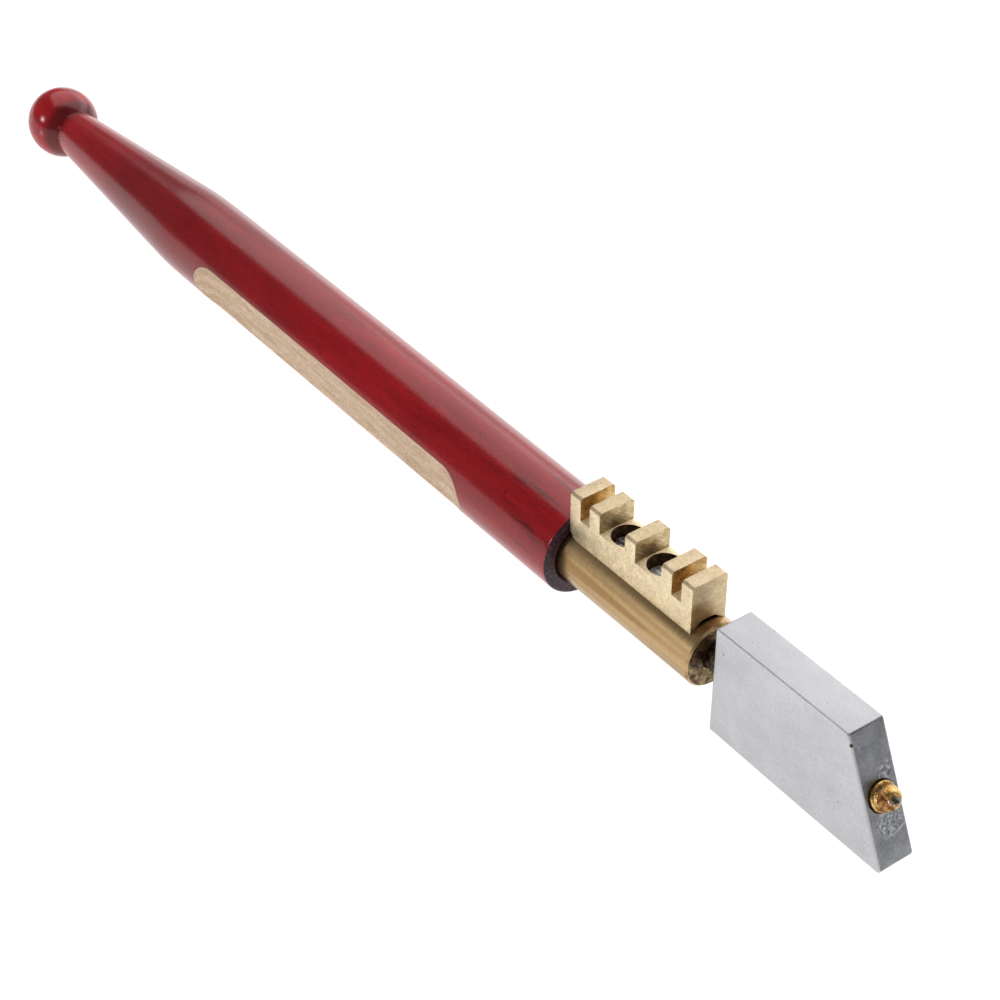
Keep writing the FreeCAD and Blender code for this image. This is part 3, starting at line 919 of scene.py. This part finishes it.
stud = {"radius": 1.65, "seatDepth": 8.0, "collarRadius": 1.75, "collarHeight": 0.5, "collarRecess": 0.3,
        "noseRadius": 1.55, "noseHeight": 2.1, "filedFromAxis": 0.55, "filedStart": 0.95, "filedTurn": 110.0,
        "solderRadius": 0.75, "solderSunk": 0.35, "solderTop": 2.3, "diamondRadius": 0.6,
        "collarBevel": (0.12, 0.1), "edgeBreak": 0.05, "diamondShowing": 0.7, "crystalRadius": 0.54,
        "crystalSeed": 5, "crystalPoints": 16, "heightJitter": 0.05, "turnJitter": 0.3, "crystalEdge": 0.03}
goldenTurn = 2.39996          # radians, spreads the crystal's points evenly


def makeStud():
    d = stud
    endRadius = math.sqrt(d["solderRadius"] ** 2 - d["solderSunk"] ** 2)
    nose = []
    steps = 12
    for i in range(steps + 1):
        a = math.radians(90 * i / steps)
        nose.append((d["collarHeight"] + (d["noseHeight"] - d["collarHeight"]) * math.sin(a),
                     endRadius + (d["noseRadius"] - endRadius) * math.cos(a)))
    down, across = d["collarBevel"]
    outline = [(-d["seatDepth"], 0), (-d["seatDepth"], d["radius"]), (-d["collarRecess"], d["radius"]),
               (-d["collarRecess"], d["collarRadius"]), (d["collarHeight"] - down, d["collarRadius"]),
               (d["collarHeight"], d["collarRadius"] - across), (d["collarHeight"], d["noseRadius"])]
    outline += nose[1:] + [(d["noseHeight"], 0)]
    piece = makeObject("diamondStud", turnOutline(outline, 96, facePlace()))
    piece.data.materials.append(gold)
    reach, start, flat = 6, d["filedStart"], d["filedFromAxis"]
    filedTool = slab([(start, flat), (reach, flat), (reach, reach), (start, reach)], 2 * reach,
                     facePlace() @ Matrix.Rotation(math.radians(d["filedTurn"]), 4, "X"))
    # the filed flat takes painted shade
    carve(piece, makeObject("file", filedTool), shadedFlat)
    breakEdges(piece, d["edgeBreak"], degrees=30)
    fitPiece(piece, "head", "diamond_stud", sharp=30)


def makeSolder():
    # a low mound of solder round the stone
    d = stud
    centre = d["noseHeight"] - d["solderSunk"]
    squash = Matrix.Diagonal((1, 1, (d["solderTop"] - centre) / d["solderRadius"], 1))
    bm = bmesh.new()
    bmesh.ops.create_icosphere(bm, subdivisions=4, radius=d["solderRadius"] * mm,
                               matrix=facePlace() @ Matrix.Translation((centre * mm, 0, 0)) @
                               Matrix.Rotation(math.radians(90), 4, "Y") @ squash)
    piece = makeObject("solderBead", bm)
    piece.data.materials.append(solder)
    fitPiece(piece, "head", "solder_bead", sharp=60)


def makeDiamond():
    # an irregular stone: the hull of points scattered on a ball, with one point outermost
    d = stud
    rng = random.Random(d["crystalSeed"])
    middle = d["noseHeight"] + d["diamondShowing"] - d["diamondRadius"]
    points = [Vector((d["diamondRadius"], 0, 0))]
    for i in range(d["crystalPoints"]):
        height = -1 + 2 * (i + 0.5) / d["crystalPoints"]
        height += rng.uniform(-d["heightJitter"], d["heightJitter"])
        around = i * goldenTurn + rng.uniform(-d["turnJitter"], d["turnJitter"])
        flat = math.sqrt(max(0.0, 1 - height * height))
        points.append(Vector((height, flat * math.cos(around), flat * math.sin(around))) * d["crystalRadius"])
    bm = bmesh.new()
    for point in points:
        bm.verts.new(point * mm)
    hull = bmesh.ops.convex_hull(bm, input=bm.verts)
    bmesh.ops.delete(bm, geom=list({v for v in hull["geom_interior"] if isinstance(v, bmesh.types.BMVert)}),
                     context="VERTS")
    bmesh.ops.recalc_face_normals(bm, faces=bm.faces)
    soften(bm, d["crystalEdge"], segments=1, degrees=10)
    bmesh.ops.transform(bm, matrix=facePlace() @ Matrix.Translation((middle * mm, 0, 0)), verts=bm.verts)
    piece = makeObject("roughDiamond", bm)
    piece.data.materials.append(crystal)
    fitPiece(piece, "head", "diamond", sharp=8)


setCamera()
layFloor()
lightStudio()
print("stage set")

lacquer, bare, endGrain = lacqueredWood(), bareWood(), stainedEndGrain()
rodBrass, rodEnd = turnedBrass(), roughBrassEnd()
barBrass, shadedTopBrass, bore = milledBrass(), milledBrass("cutTopBrassShaded", (0.73, 0.7, 0.68)), shadedBore()
# painted shade: the notch walls are darkened round the screw counterbores
holes = [((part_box(n)[0].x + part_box(n)[1].x) / 2, 0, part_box("notch_bar")[1].z - bar["wideDepth"] * mm)
         for n in ("rear_bar_screw", "front_bar_screw")]
notchBrass = sawnBrass("notchBrass", (0.44, 0.32, 0.15), (0.84, 0.7, 0.46), holes)
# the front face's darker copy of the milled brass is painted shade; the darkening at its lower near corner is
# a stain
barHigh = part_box("notch_bar")[1]
grime = (barHigh.x, -0.9 * barHigh.y, axisZ + 4.2 * mm)
shadedFrontBrass = milledBrass("shadedFrontBrass", (0.86, 0.82, 0.77), [grime])
# a darker, more saturated copy of the sawn brass, painted shade for the narrow slots and the saddle
shadedSlotBrass = sawnBrass("shadedSlotBrass", (0.42, 0.26, 0.085), (0.8, 0.58, 0.26))
steel, pinSteel = screwSteel(), darkPinSteel()
satin, shadedTopSatin, filed = satinAluminium(), satinAluminium("shadedTopSatin", 0.79), filedShadedAluminium()
gold, shadedFlat, solder, crystal = goldenBrass(), shadedFiledFlat(), solderWithGlints(), roughDiamond()

makeHandle()
makeShank()
makeBar()
makeScrews()
makePin()
makeBlock()
makeStud()
makeSolder()
makeDiamond()
